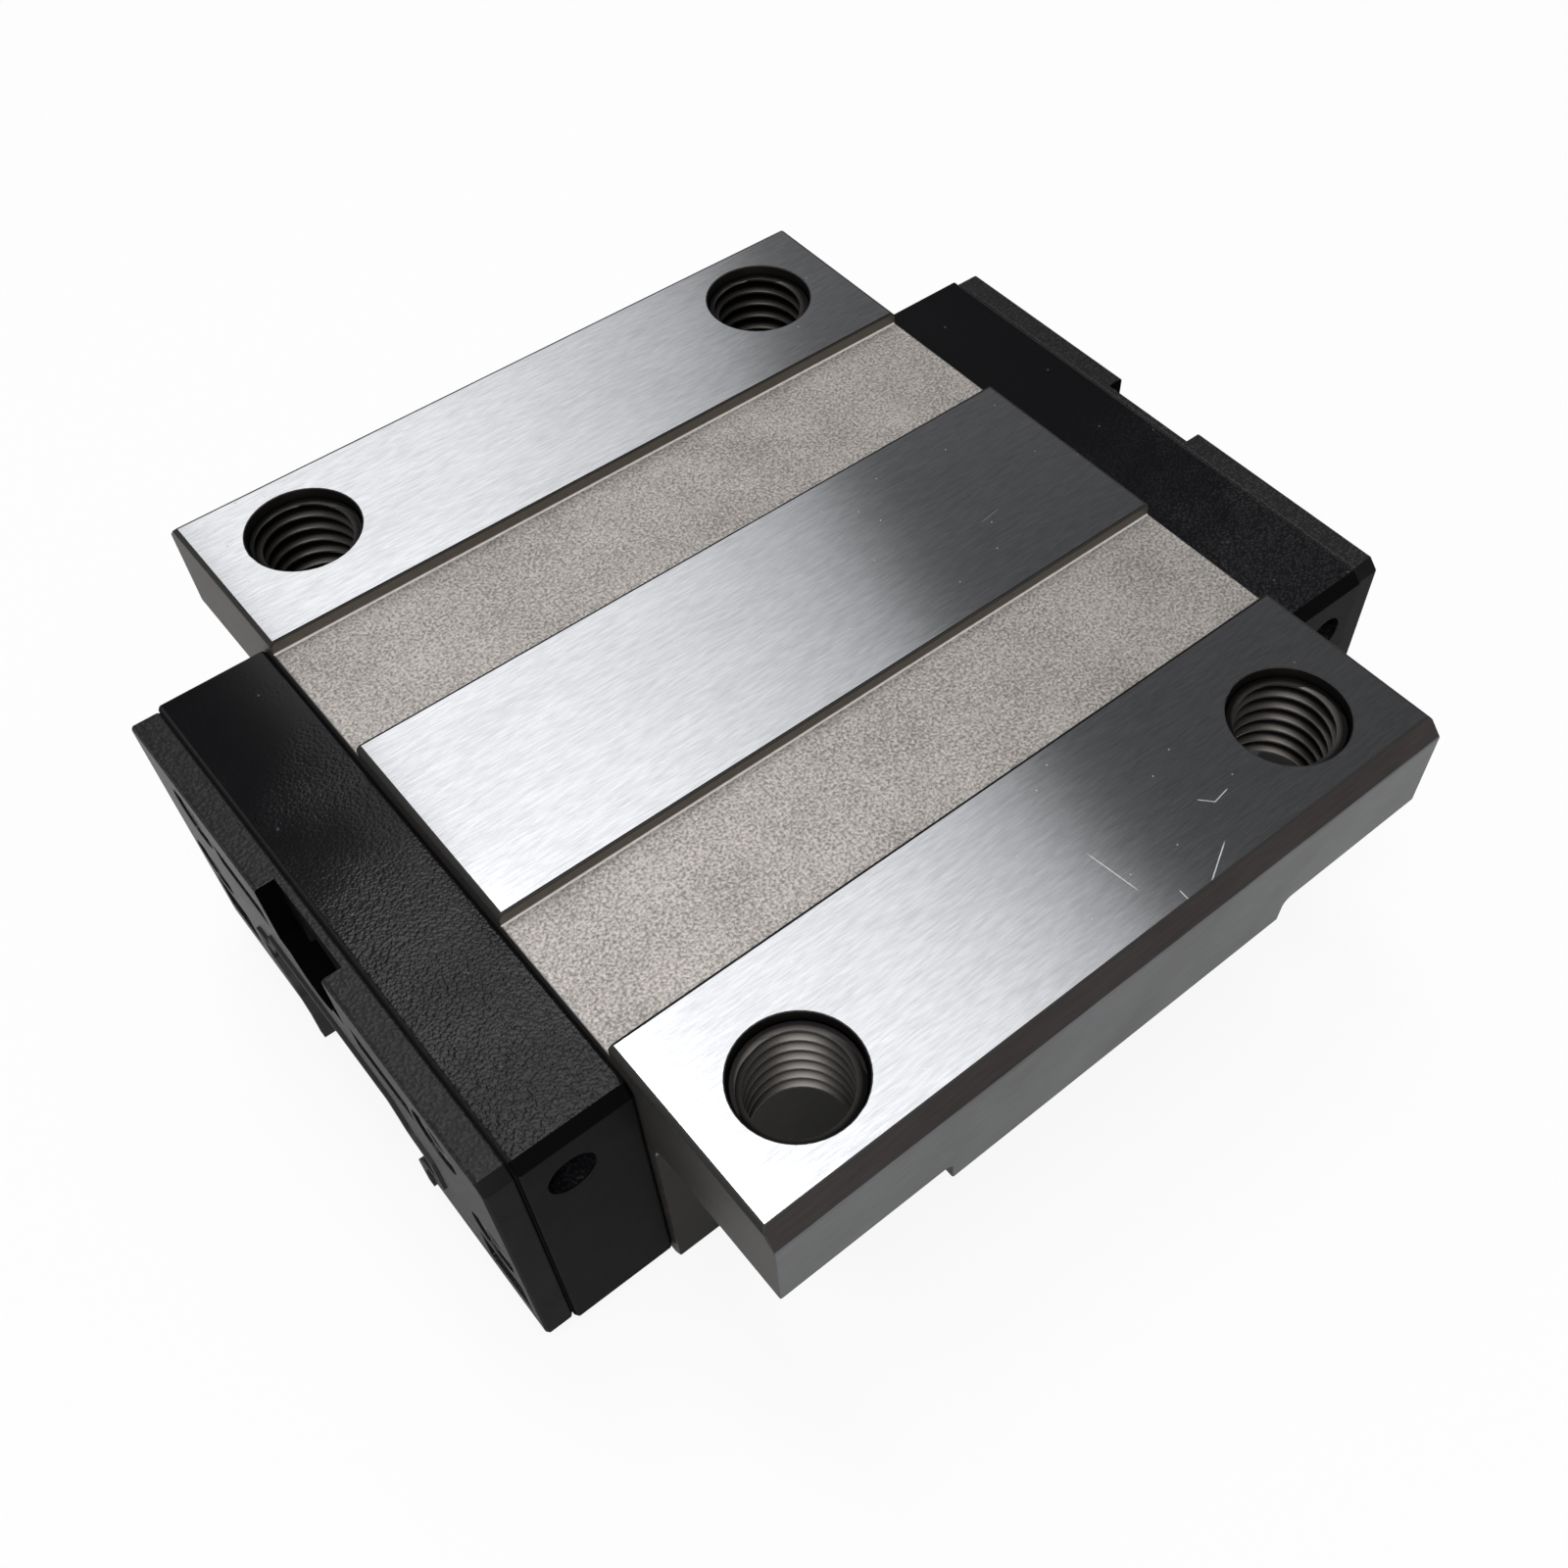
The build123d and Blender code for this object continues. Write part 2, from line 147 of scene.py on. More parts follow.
class SteelSettings(bpy.types.PropertyGroup):
    """Finishes of the steel body."""

    ground_color: color("Ground color", "Colour of the ground strips", (0.62, 0.63, 0.655))
    ground_roughness: factor("Ground roughness", "Roughness of the ground strips", 0.12)
    streak_length: length("Streak length", "Length of one grinding mark", 1.7)
    streak_width: length("Streak width", "Width of one grinding mark", 0.2)
    streak_depth: length("Streak depth", "Depth of the grinding marks", 0.0022)
    streak_angle: angle("Streak angle", "Angle of the grinding marks to the travel", 7)
    grain_size: length("Grain size", "Size of the blasted pits", 0.26)
    grain_depth: length("Grain depth", "Depth of the blasted pits", 0.04)
    blasted_color: color("Blasted color", "Colour of the blasted bands", (0.405, 0.378, 0.355))
    wall_color: color("Wall color", "Colour of the strips' side walls", (0.1, 0.088, 0.072))
    side_color: color("Side color", "Colour of the drawn flanks", (0.2, 0.203, 0.208))
    leg_color: color("Leg color", "Colour of the legs below the flange", (0.034, 0.031, 0.029))
    milled_color: color("Milled color", "Colour of the milled ends", (0.115, 0.106, 0.101))
    chamfer_color: color("Chamfer color", "Colour of the long chamfers", (0.07, 0.062, 0.06))
    # Edge colour: painted shade, a dark line along the broken edges of the ground strips
    edge_shade_color: color("Edge color", "Colour of the broken edges", (0.02, 0.019, 0.018))
    # Corner highlight colour: a painted highlight along the foot of each step between strip and band
    corner_highlight_color: color("Corner highlight color", "Colour of the painted corner highlights", (0.6, 0.58, 0.55))
    bore_color: color("Bore color", "Colour inside the flange holes", (0.05, 0.046, 0.043))
    # Root colour: painted shade at the roots of the threads and deep in the holes
    root_shade_color: color("Root color", "Colour at the roots of the threads", (0.008, 0.007, 0.007))
    edge_width: length("Edge width", "Width of the broken edges", 0.14)
    scratch_width: length("Scratch width", "Width of the scratches in the ground strips", 0.12)


class ThreadSettings(bpy.types.PropertyGroup):
    """Threads in the flange holes."""

    pitch: length("Pitch", "Distance from crest to crest", 1.5)
    wall_radius: length("Wall radius", "Radius of the hole's wall", 5.0)
    crest_radius: length("Crest radius", "Radius at the crests", 4.2)
    crest_width: length("Crest width", "Width of the flat on a crest", 0.2)
    root_width: length("Root width", "Width of the flat between two ridges", 0.45)
    spacing_x: length("Spacing along", "Distance between the holes along the rail", 52)
    spacing_y: length("Spacing across", "Distance between the holes across the rail", 72)
    lead_in: length("Lead-in", "Depth of the plain ring above the thread", 0.9)
    flange: length("Flange", "Thickness of the flange at the holes", 10.2)
    steps: IntProperty(name="Steps", description="Segments in one turn", default=64, min=12, max=128)


class PlasticSettings(bpy.types.PropertyGroup):
    """Moulded caps and plates."""

    cap_color: color("Cap color", "Colour of the end caps", (0.0042, 0.0042, 0.005))
    plate_color: color("Plate color", "Colour of the end plates", (0.009, 0.009, 0.0095))
    # Painted shade colour: the dull black of the seams, the caps' corner chamfers and the plates' notches
    painted_shade_color: color("Painted shade color", "Colour in the seams", (0.001, 0.001, 0.001))
    seam_width: length("Seam width", "Width of the dark line along a seam", 0.3)
    cap_roughness: factor("Cap roughness", "Roughness of the end caps", 0.24)
    plate_roughness: factor("Plate roughness", "Roughness of the end plates", 0.36)
    side_gloss: factor("Side gloss", "Specular level of the upright faces", 0.05)
    cap_grain: length("Cap grain", "Size of the caps' moulded grain", 0.26)
    plate_grain: length("Plate grain", "Size of the plates' moulded grain", 0.3)
    grain_depth: length("Grain depth", "Depth of the moulded grain", 0.07)
    edge_width: length("Edge width", "Width of the softened edges", 0.1)
    notch_depth: length("Notch depth", "Depth of the notches in the end plates", 1.8)
    notch_width: length("Notch width", "Width of the notches", 10.6)
    notch_height: length("Notch height", "Height of the notches and the ports in them", 9.7)


class SmallPartSettings(bpy.types.PropertyGroup):
    """Balls, guides, seals, strips, wires, screws and plugs."""

    ball_color: color("Ball color", "Colour of the balls", (0.75, 0.75, 0.77))
    guide_color: color("Guide color", "Colour of the return guides", (0.62, 0.6, 0.55))
    seal_color: color("Seal color", "Colour of the rubber seals", (0.018, 0.018, 0.019))
    strip_color: color("Strip color", "Colour of the retainer strips", (0.1, 0.1, 0.11))
    wire_color: color("Wire color", "Colour of the retaining wires", (0.5, 0.5, 0.5))
    screw_color: color("Screw color", "Colour of the screws", (0.06, 0.06, 0.063))
    plug_color: color("Plug color", "Colour of the grease plugs", (0.006, 0.006, 0.006))


class StudioSettings(bpy.types.PropertyGroup):
    """Camera, lamps and floor."""

    camera_place: FloatVectorProperty(
        name="Camera place",
        description="Where the camera stands",
        default=(-0.05701, -0.08127, 0.13937),
        subtype="TRANSLATION",
        unit="LENGTH",
    )
    camera_aim: FloatVectorProperty(
        name="Camera aim",
        description="Direction that the camera looks in",
        default=(0.3656, 0.4375, -0.8215),
        subtype="DIRECTION",
    )
    lens_mm: FloatProperty(name="Lens", description="Focal length", default=37.94, min=1)
    shift_x: FloatProperty(name="Shift X", description="Sideways shift of the picture", default=-0.0556)
    shift_y: FloatProperty(name="Shift Y", description="Upward shift of the picture", default=0.0479)
    key_level: level("Key", "Radiance of the key light", 6.5)
    softbox_level: level("Softbox", "Radiance of the softbox", 1.33)
    card_level: level("Near card", "Radiance of the near card", 4.6)
    tent_level: level("Tent", "Brightness of the tent round the table", 0.5)
    room_level: level("Room", "Brightness of the tent's dark part", 0.068)
    floor_level: factor("Floor", "Brightness of the floor as the object sees it", 0.55)


GROUPS = {
    "carriage_steel": SteelSettings,
    "carriage_threads": ThreadSettings,
    "carriage_plastic": PlasticSettings,
    "carriage_small_parts": SmallPartSettings,
    "carriage_studio": StudioSettings,
}


def deselect():
    """Leave edit mode and deselect everything."""
    if bpy.context.mode != "OBJECT":
        bpy.ops.object.mode_set(mode="OBJECT")
    bpy.ops.object.select_all(action="DESELECT")


def pick(obj):
    """Make one object the only one selected."""
    deselect()
    obj.select_set(True)
    bpy.context.view_layer.objects.active = obj


def select_faces(obj, wanted):
    """In edit mode, select just the faces whose centre and normal pass a test."""
    bpy.ops.mesh.select_mode(type="FACE")
    bpy.ops.mesh.select_all(action="DESELECT")
    mesh = bmesh.from_edit_mesh(obj.data)
    for face in mesh.faces:
        face.select_set(wanted(face.calc_center_median(), face.normal))
    bmesh.update_edit_mesh(obj.data)


def select_points(obj, wanted):
    """In edit mode, select just the points whose place passes a test."""
    bpy.ops.mesh.select_mode(type="VERT")
    bpy.ops.mesh.select_all(action="DESELECT")
    mesh = bmesh.from_edit_mesh(obj.data)
    for point in mesh.verts:
        if wanted(point.co):
            point.select_set(True)
    mesh.select_flush(True)
    bmesh.update_edit_mesh(obj.data)


def select_edges(obj, wanted):
    """In edit mode, select just the edges that pass a test."""
    bpy.ops.mesh.select_mode(type="EDGE")
    bpy.ops.mesh.select_all(action="DESELECT")
    mesh = bmesh.from_edit_mesh(obj.data)
    for edge in mesh.edges:
        edge.select_set(wanted(edge))
    bmesh.update_edit_mesh(obj.data)


def apply_modifier(obj, kind, **values):
    """Add a modifier, set it and apply it."""
    pick(obj)
    bpy.ops.object.modifier_add(type=kind)
    modifier = obj.modifiers[-1]
    for name, value in values.items():
        setattr(modifier, name, value)
    bpy.ops.object.modifier_apply(modifier=modifier.name)


def settle(obj):
    """Bring a finished piece's object to the origin, with its place in its mesh."""
    pick(obj)
    bpy.ops.object.transform_apply(location=True, rotation=True, scale=True)


def join_body(obj, slot, *nodes):
    """Let a finished piece ride on the body and hide the nodes that it stands for; its slot is not used.
    """
    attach(obj, "root")
    if nodes:
        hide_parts(*nodes)


def softened_copy(node, name, width):
    """A copy of a CAD node with merged faces and small rounded edges."""
    pick(frame["nodes"][node])
    bpy.ops.object.duplicate()
    piece = bpy.context.active_object
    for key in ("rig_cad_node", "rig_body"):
        del piece[key]
    piece.parent = None
    piece.name = name
    piece.data.name = name
    pick(piece)
    bpy.ops.mesh.customdata_custom_splitnormals_clear()
    bpy.ops.object.mode_set(mode="EDIT")
    bpy.ops.mesh.select_all(action="SELECT")
    bpy.ops.mesh.remove_doubles(threshold=CAD_WELD)
    bpy.ops.mesh.dissolve_limited(angle_limit=FLAT_ANGLE)

    def is_corner(edge):
        return edge.calc_face_angle() > CORNER_ANGLE and edge.calc_length() > 2 * width

    select_edges(piece, is_corner)
    bpy.ops.mesh.bevel(offset=width, segments=2, affect="EDGES", clamp_overlap=False)
    bpy.ops.mesh.select_all(action="SELECT")
    bpy.ops.mesh.remove_doubles(threshold=STEP_WELD)
    bpy.ops.object.mode_set(mode="OBJECT")
    bpy.ops.object.shade_smooth_by_angle(angle=SMOOTH_ANGLE)
    apply_modifier(piece, "WEIGHTED_NORMAL", mode="FACE_AREA", weight=100, keep_sharp=True)
    return piece


def add_node(tree, kind, links=(), **settings):
    """Add a node to a tree, set it and link or set its inputs."""
    made = tree.nodes.new(kind)
    for name, value in settings.items():
        setattr(made, name, value)
    for socket, source in dict(links).items():
        if isinstance(source, bpy.types.NodeSocket):
            tree.links.new(source, made.inputs[socket])
        else:
            made.inputs[socket].default_value = source
    return made


class Finish:
    """A procedural material that reads object coordinates."""

    def __init__(self, name, base, metallic, roughness, **sockets):
        self.material = bpy.data.materials.new(name)
        self.material.use_nodes = True
        self.material.diffuse_color = (*base, 1)
        self.tree = self.material.node_tree
        self.shader = self.tree.nodes["Principled BSDF"]
        self.coordinates = self.tree.nodes.new("ShaderNodeTexCoord").outputs["Object"]
        self.shader.inputs["Base Color"].default_value = (*base, 1)
        self.shader.inputs["Metallic"].default_value = metallic
        self.shader.inputs["Roughness"].default_value = roughness
        for socket, value in sockets.items():
            self.shader.inputs[socket.replace("_", " ")].default_value = value

    def node(self, kind, links=(), **settings):
        """Add a node to the material."""
        return add_node(self.tree, kind, links, **settings)

    def noise(self, size, stretch=1, angle=0, detail=2, roughness=0.5):
        """Noise of a given feature size, stretched along X and turned about Z."""
        mapping = self.node(
            "ShaderNodeMapping",
            {
                "Vector": self.coordinates,
                "Rotation": (0, 0, angle),
                "Scale": (1 / (size * stretch), 1 / size, 1 / size),
            },
        )
        links = {"Vector": mapping.outputs[0], "Scale": 1, "Detail": detail, "Roughness": roughness}
        return self.node("ShaderNodeTexNoise", links).outputs["Fac"]

    def remap(self, source, low, high, to_low, to_high):
        """Spread a value from one range to another, clamped."""
        ends = {"From Min": low, "From Max": high, "To Min": to_low, "To Max": to_high}
        return self.node("ShaderNodeMapRange", {"Value": source, **ends}).outputs["Result"]

    def product(self, first, second):
        """Multiply two values."""
        return self.node("ShaderNodeMath", {0: first, 1: second}, operation="MULTIPLY").outputs[0]

    def pebbles(self, size):
        """The distance from the middle of each of many small pebbles."""
        wander = self.node("ShaderNodeTexNoise", {"Vector": self.coordinates, "Scale": 0.6 / size})
        shifted = self.node(
            "ShaderNodeVectorMath",
            {0: wander.outputs["Color"], 1: (0.8 * size,) * 3, 2: self.coordinates},
            operation="MULTIPLY_ADD",
        )
        return self.node(
            "ShaderNodeTexVoronoi", {"Vector": shifted.outputs[0], "Scale": 1 / size}, feature="SMOOTH_F1"
        ).outputs["Distance"]

    def specks(self, size, spacing):
        """One at small scattered specks of the top face."""
        mapping = self.node(
            "ShaderNodeMapping", {"Vector": self.coordinates, "Scale": (1 / spacing, 1 / spacing, 1)}
        )
        cells = self.node(
            "ShaderNodeTexVoronoi", {"Vector": mapping.outputs[0], "Scale": 1}, voronoi_dimensions="2D"
        )
        return self.remap(cells.outputs["Distance"], 0.3 * size / spacing, 0.6 * size / spacing, 1, 0)

    def scratch(self, place, angle, length, width):
        """One along a short straight scratch in the top face."""
        mapping = self.node(
            "ShaderNodeMapping",
            {"Vector": self.coordinates, "Location": (*place, 0), "Rotation": (0, 0, angle)},
            vector_type="TEXTURE",
        )
        split = self.node("ShaderNodeSeparateXYZ", {0: mapping.outputs[0]})
        along, across = (
            self.node("ShaderNodeMath", {0: split.outputs[axis]}, operation="ABSOLUTE").outputs[0]
            for axis in "XY"
        )
        ends = self.remap(along, 0.35 * length, 0.5 * length, 1, 0)
        sides = self.remap(across, 0.2 * width, 0.5 * width, 1, 0)
        return self.product(ends, sides)

    def axis(self, name):
        """The distance from the middle along one axis."""
        split = self.node("ShaderNodeSeparateXYZ", {0: self.coordinates})
        return self.node("ShaderNodeMath", {0: split.outputs[name]}, operation="ABSOLUTE").outputs[0]

    def line(self, distance, place, width):
        """One along a thin line at a given distance."""
        return self.node(
            "ShaderNodeMath", {0: distance, 1: place, 2: width / 2}, operation="COMPARE"
        ).outputs[0]

    def seams(self, plastic, places, plain, rough, gloss):
        """Use a colour and gloss that turn dull black along seams across the travel: painted shade in the
        seams.
        """
        along = self.axis("X")
        # The dark lines along the seams are painted shade
        dark = self.sum(*(self.line(along, place, plastic.seam_width) for place in places))
        self.use("Base Color", self.blend(dark, plain, plastic.painted_shade_color))
        self.use("Roughness", self.remap(dark, 0, 1, rough, 0.9))
        self.shader.inputs["Specular IOR Level"].default_value = gloss

    def blend(self, share, first, second):
        """Mix two colours by a share."""
        mix = self.node("ShaderNodeMix", data_type="RGBA")
        self.tree.links.new(share, mix.inputs[0])
        for socket, value in ((mix.inputs[6], first), (mix.inputs[7], second)):
            if isinstance(value, bpy.types.NodeSocket):
                self.tree.links.new(value, socket)
            else:
                socket.default_value = (*value, 1)
        return mix.outputs[2]

    def sum(self, *sources):
        """Add up values."""
        total = sources[0]
        for source in sources[1:]:
            total = self.node("ShaderNodeMath", {0: total, 1: source}, operation="ADD").outputs[0]
        return total

    def use(self, socket, source):
        """Drive one of the shader's sockets."""
        self.tree.links.new(source, self.shader.inputs[socket])

    def bump(self, height, depth, strength=1.0):
        """Raise the surface by a height pattern."""
        links = {"Height": height, "Distance": depth, "Strength": strength}
        self.use("Normal", self.node("ShaderNodeBump", links).outputs["Normal"])


def shade(base, level):
    """A colour made lighter or darker."""
    return tuple(min(channel * level, 1) for channel in base)


# Scratches in the top face: place, angle, length and depth as a share of the deepest
SCRATCHES = (
    ((3.7 * MM, -37.8 * MM), radians(-83), 5.4 * MM, 0.8),
    ((6.4 * MM, -43.0 * MM), radians(-94), 1.4 * MM, 0.8),
    ((10.7 * MM, -42.4 * MM), radians(29), 4.4 * MM, 1.0),
    ((14.3 * MM, -37.7 * MM), radians(-48), 1.6 * MM, 0.7),
    ((15.6 * MM, -38.1 * MM), radians(9), 2.0 * MM, 0.8),
    ((22.8 * MM, -2.6 * MM), radians(7), 2.8 * MM, 0.25),
)


def ground_finish(steel):
    """Ground steel with short streaks along the travel."""
    made = Finish("Ground steel", steel.ground_color, 1.0, steel.ground_roughness)
    stretch = steel.streak_length / steel.streak_width
    streaks = made.noise(steel.streak_width, stretch, steel.streak_angle, detail=3)
    clouds = made.noise(9 * MM, 1.5, detail=2)
    tone = made.sum(made.product(streaks, 0.8), made.product(clouds, 0.2))
    share = made.remap(tone, 0.3, 0.7, 0, 1)
    plain = made.blend(share, shade(steel.ground_color, 0.84), shade(steel.ground_color, 1.12))
    marks = made.sum(
        made.product(made.specks(*STEEL_SPECKS), 0.5),
        *(
            made.product(made.scratch(place, turn, extent, steel.scratch_width), depth)
            for place, turn, extent, depth in SCRATCHES
        ),
    )
    marked = made.blend(made.product(marks, 0.5), plain, shade(steel.ground_color, 1.5))
    # The dark lines along the strips' edges at the step lines are painted shade
    across = made.axis("Y")
    edges = made.sum(*(made.line(across, place, 3.6 * steel.edge_width) for place in STEP_LINES))
    made.use("Base Color", made.blend(edges, marked, steel.edge_shade_color))
    rough = steel.ground_roughness
    made.use("Roughness", made.remap(made.sum(marks, edges), 0, 1, rough, 0.6))
    made.bump(streaks, steel.streak_depth)
    return made.material


def blasted_finish(steel):
    """Shot-blasted steel, pitted and warm grey."""
    made = Finish("Blasted steel", steel.blasted_color, 0.7, 0.5)
    pits = made.noise(steel.grain_size, detail=3, roughness=0.6)
    patches = made.noise(6 * MM)
    share = made.remap(made.sum(made.product(pits, 0.85), made.product(patches, 0.15)), 0.38, 0.62, 0, 1)
    dark, light = shade(steel.blasted_color, 0.55), shade(steel.blasted_color, 1.5)
    made.use("Base Color", made.blend(share, dark, light))
    made.bump(pits, steel.grain_depth)
    return made.material


def bored_finish(steel, threads):
    """The bored walls of the flange holes, with painted shade from the thread down."""
    made = Finish("Bored steel", steel.bore_color, 0.9, 0.35)
    split = made.node("ShaderNodeSeparateXYZ", {0: made.coordinates})
    start = TOP - threads.lead_in
    # Painted shade: the wall turns dark from the start of the thread down
    below = made.remap(split.outputs["Z"], start - 0.3 * MM, start, 1, 0)
    made.use("Base Color", made.blend(below, steel.bore_color, steel.root_shade_color))
    made.bump(made.noise(0.5 * MM), 0.004 * MM)
    return made.material


def thread_finish(steel, threads):
    """Threads with a painted highlight on the crests and painted shade at the roots."""
    made = Finish("Thread steel", steel.bore_color, 0.9, 0.36)
    squares = []
    for name, spacing in (("X", threads.spacing_x), ("Y", threads.spacing_y)):
        links = {0: made.axis(name), 1: spacing / 2}
        off_centre = made.node("ShaderNodeMath", links, operation="SUBTRACT").outputs[0]
        squares.append(made.product(off_centre, off_centre))
    links = {0: made.sum(*squares), 1: 0.5}
    radius = made.node("ShaderNodeMath", links, operation="POWER").outputs[0]
    crest = threads.crest_radius
    # Painted shade towards the roots and a painted lighter tone on the crests, by distance from the
    # hole's axis
    deep = made.remap(radius, crest + 0.1 * MM, crest + 0.5 * MM, 0, 1)
    made.use("Base Color", made.blend(deep, shade(steel.bore_color, 1.6), steel.root_shade_color))
    made.bump(made.noise(0.5 * MM), 0.004 * MM)
    return made.material


def drawn_finish(name, base, roughness):
    """Plain drawn or milled steel with faint long marks."""
    made = Finish(name, base, 0.9, roughness)
    marks = made.noise(0.3 * MM, 12, detail=3)
    patches = made.noise(7 * MM)
    share = made.remap(made.sum(made.product(marks, 0.5), made.product(patches, 0.5)), 0.35, 0.65, 0, 1)
    made.use("Base Color", made.blend(share, shade(base, 0.85), shade(base, 1.15)))
    made.bump(marks, 0.003 * MM)
    return made.material


def side_finish(name, plastic, base, seams):
    """The plastic on the upright faces, where it's plain and dull."""
    made = Finish(name, base, 0.0, 0.45)
    patches = made.remap(made.noise(4 * MM), 0.3, 0.7, 0, 1)
    plain = made.blend(patches, shade(base, 0.8), shade(base, 1.3))
    made.seams(plastic, seams, plain, 0.45, plastic.side_gloss)
    made.bump(made.noise(0.4 * MM), 0.01 * MM)
    return made.material


def is_upright(place, normal):
    """Whether a face of a moulded piece looks sideways."""
    return abs(normal.y) > 0.5


def is_slanted(place, normal):
    """Whether a face of a moulded piece is one of its upper corners' chamfers."""
    return abs(normal.y) > 0.3 and 0.3 < normal.z < 0.95


def moulded_finish(name, plastic, base, roughness, grain, smoothest, seams):
    """Black moulded plastic with a fine grain that grows stronger towards one end, with painted
    highlights on the grain's tips.
    """
    made = Finish(name, base, 0.0, roughness)
    pebbles = made.pebbles(grain)
    patches = made.noise(8 * MM)
    split = made.node("ShaderNodeSeparateXYZ", {0: made.coordinates})
    along = made.remap(split.outputs["Y"], GRAIN_START, GRAIN_FULL, 0, 1)
    growth = made.remap(made.sum(along, made.product(patches, 0.9)), 0.45, 1.25, smoothest, 1)
    amount = made.product(growth, growth)
    # The lighter colour on the pebbles' tips is painted highlight; their bump is real grain
    tip_highlights = made.product(made.remap(pebbles, 0.1, 0.45, 1, 0), amount)
    dusty = made.blend(made.specks(*DUST_SPECKS), base, shade(base, 14))
    rough = made.remap(amount, 0, 1, 0.55 * roughness, 1.2 * roughness)
    made.seams(plastic, seams, made.blend(tip_highlights, dusty, shade(base, 3.5)), rough, 0.26)
    made.bump(made.product(pebbles, amount), -plastic.grain_depth)
    return made.material


def plain_finish(name, base, metallic, roughness, grain=0.5 * MM, depth=0.004 * MM, **sockets):
    """A smooth finish with a trace of grain."""
    made = Finish(name, base, metallic, roughness, **sockets)
    tone = made.noise(grain)
    share = made.remap(tone, 0.3, 0.7, 0, 1)
    made.use("Base Color", made.blend(share, shade(base, 0.93), shade(base, 1.07)))
    made.bump(tone, depth)
    return made.material


def paint(obj, material):
    """Give an object a single material."""
    obj.data.materials.clear()
    obj.data.materials.append(material)


def paint_faces(obj, material, wanted):
    """Give the faces that pass a test a material of their own."""
    pick(obj)
    obj.data.materials.append(material)
    bpy.ops.object.mode_set(mode="EDIT")
    select_faces(obj, wanted)
    obj.active_material_index = len(obj.data.materials) - 1
    bpy.ops.object.material_slot_assign()
    bpy.ops.object.mode_set(mode="OBJECT")


class CARRIAGE_OT_body(bpy.types.Operator):
    """Break the body's edges and give each of its faces its finish"""

    bl_idname = "carriage.body"
    bl_label = "Steel body"

    def execute(self, context):
        steel = context.scene.carriage_steel
        threads = context.scene.carriage_threads
        body = softened_copy("carriage_body", "steel_body", steel.edge_width)
        paint(body, drawn_finish("Drawn steel", steel.side_color, 0.4))
        half_width = BODY_HIGH.y

        def on_top(place, normal):
            return normal.z > 0.99 and place.z > TOP - HAIR

        def in_band(place, normal):
            return normal.z > 0.99 and abs(place.z - BAND_LEVEL) < HAIR and abs(place.y) < STEP_LINES[1]

        def on_wall(place, normal):
            return abs(normal.y) > 0.9 and place.z > BAND_LEVEL and abs(place.y) < STEP_LINES[1] + HAIR

        def at_end(place, normal):
            return abs(normal.x) > 0.9

        def on_leg(place, normal):
            return place.z < LEG_TOP and abs(normal.x) < 0.9

        def on_chamfer(place, normal):
            return 0.6 < normal.z < 0.8 and abs(place.y) > half_width - 2 * MM

        def on_top_edge(place, normal):
            return 0.05 < normal.z < 0.99 and place.z > TOP - 0.4 * MM

        def in_corner(place, normal):
            off_step = min(abs(abs(place.y) - line) for line in STEP_LINES)
            at_step = off_step < 0.3 * MM and abs(place.z - BAND_LEVEL) < 0.25 * MM
            return 0.05 < normal.z < 0.95 and at_step

        def in_hole(place, normal):
            off_x = abs(abs(place.x) - threads.spacing_x / 2)
            off_y = abs(abs(place.y) - threads.spacing_y / 2)
            return (off_x**2 + off_y**2) ** 0.5 < 5.4 * MM and place.z < TOP - HAIR

        paint_faces(body, drawn_finish("Leg steel", steel.leg_color, 0.5), on_leg)
        paint_faces(body, ground_finish(steel), on_top)
        paint_faces(body, blasted_finish(steel), in_band)
        paint_faces(body, plain_finish("Wall steel", steel.wall_color, 0.5, 0.5), on_wall)
        paint_faces(body, drawn_finish("Milled steel", steel.milled_color, 0.45), at_end)
        paint_faces(body, drawn_finish("Chamfered steel", steel.chamfer_color, 0.4), on_chamfer)
        # The broken top edges are painted dark: painted shade
        paint_faces(body, plain_finish("Edge shade steel", steel.edge_shade_color, 0.3, 0.6), on_top_edge)
        # The concave corners at the steps get a painted highlight
        paint_faces(body, plain_finish("Corner highlight steel", steel.corner_highlight_color, 0.2, 0.5), in_corner)
        # The hole walls get painted shade from the thread down
        paint_faces(body, bored_finish(steel, threads), in_hole)
        join_body(body, "ground_steel", "carriage_body")
        return {"FINISHED"}


